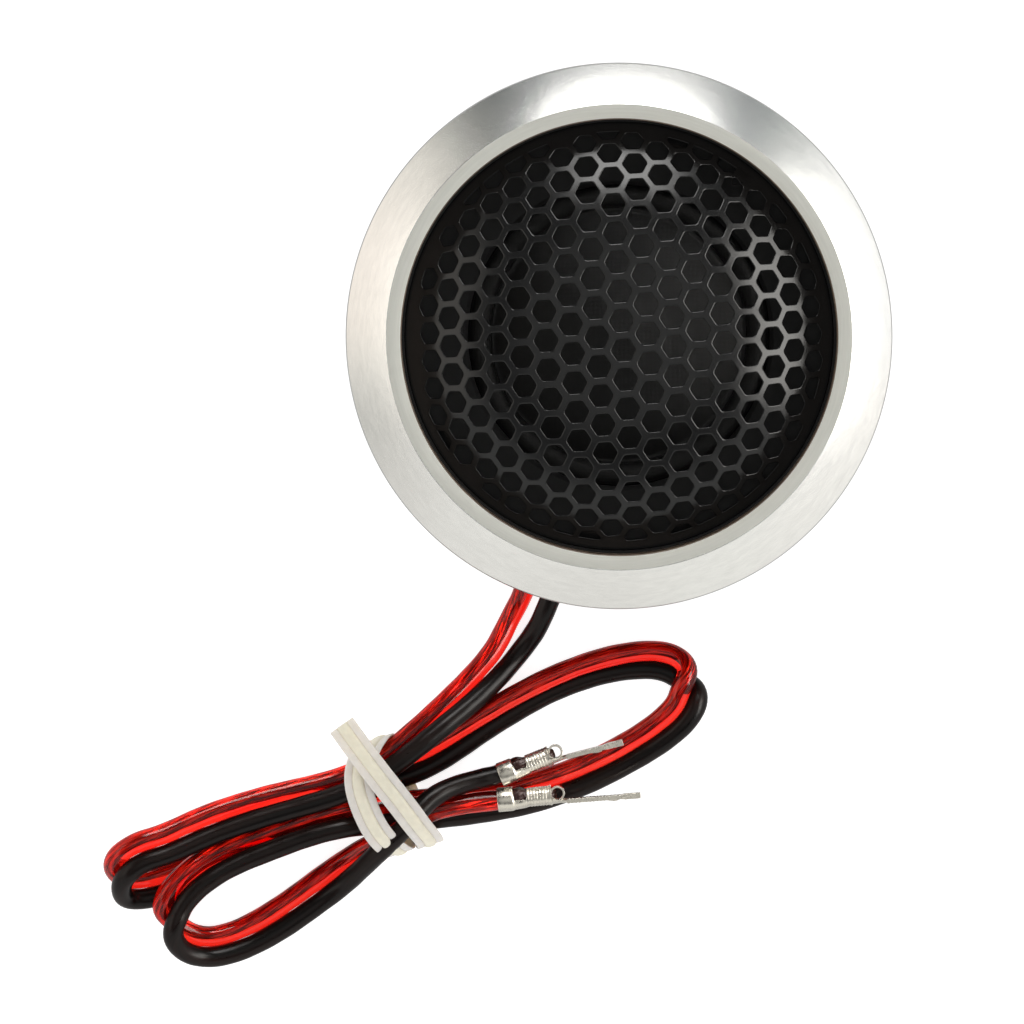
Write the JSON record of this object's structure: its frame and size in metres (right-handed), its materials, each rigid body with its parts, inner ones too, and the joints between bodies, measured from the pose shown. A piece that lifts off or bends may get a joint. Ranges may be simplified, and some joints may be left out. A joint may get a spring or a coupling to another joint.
{
  "type": "car_tweeter",
  "caption": "Flush-mount car tweeter: silver trim ring, domed black hexagonal grille over a silk dome, and a tied hank of red and black leads with crimped pins",
  "frame": {"origin": "bottom centre of the body: its middle axis meets the plane of the rear housing's back, which is also the surface the leads lie on", "axes": "+Z along the direction the sound leaves, out through the grille; +X and +Y lie in the panel's plane; the leads leave towards -Y, 17 degrees round to -X"},
  "size_m": [0.0795, 0.0921, 0.0186],
  "materials": {
    "ring_aluminium": "fine turned and anodised",
    "grille_paint": "satin black paint",
    "body_plastic": "fine moulded texture",
    "foam_dark": "open foam",
    "dome_silk": "coated woven silk",
    "surround_silk": "doped cloth",
    "former_foil": "bright foil",
    "copper_wire": "enamelled copper",
    "zinc_steel": "zinc plated",
    "magnet_nickel": "nickel plated",
    "felt_grey": "pressed felt",
    "screw_steel": "zinc plated",
    "board_phenolic": "phenolic paper board",
    "tinned_metal": "bright tin plate",
    "solder": "bright solder",
    "capacitor_sleeve": "shrink sleeve",
    "grommet_rubber": "soft matte",
    "red_pvc": "glossy translucent",
    "black_pvc": "glossy translucent",
    "tie_plastic": "translucent with a cream core"
  },
  "bodies": {
    "body": {"trim_ring": "ring_aluminium", "grille": "grille_paint", "front_plate": "body_plastic", "front_gasket": "foam_dark", "surround": "surround_silk", "diaphragm_ring": "body_plastic", "top_plate": "zinc_steel", "magnet": "magnet_nickel", "yoke": "zinc_steel", "damping_pad": "felt_grey", "rear_housing": "body_plastic", "rear_pad": "foam_dark", "housing_screws": "screw_steel", "terminal_board": "board_phenolic", "terminal_lugs": "tinned_metal", "solder_joints": "solder", "tinsel_leads": "copper_wire", "capacitor": "capacitor_sleeve", "cable_grommet": "grommet_rubber", "red_lead": "red_pvc", "black_lead": "black_pvc", "red_pin_terminal": "tinned_metal", "black_pin_terminal": "tinned_metal", "twist_tie": "tie_plastic"},
    "diaphragm": {"dome": "dome_silk", "coil_former": "former_foil", "voice_coil": "copper_wire"}
  },
  "joints": [
    {"name": "dome_travel", "type": "slide", "parent": "body", "child": "diaphragm", "axis": [0, 0, 1], "range_m": [-0.0004, 0.0004], "stiffness_N_per_m": 50, "deforming": ["surround"]}
  ]
}
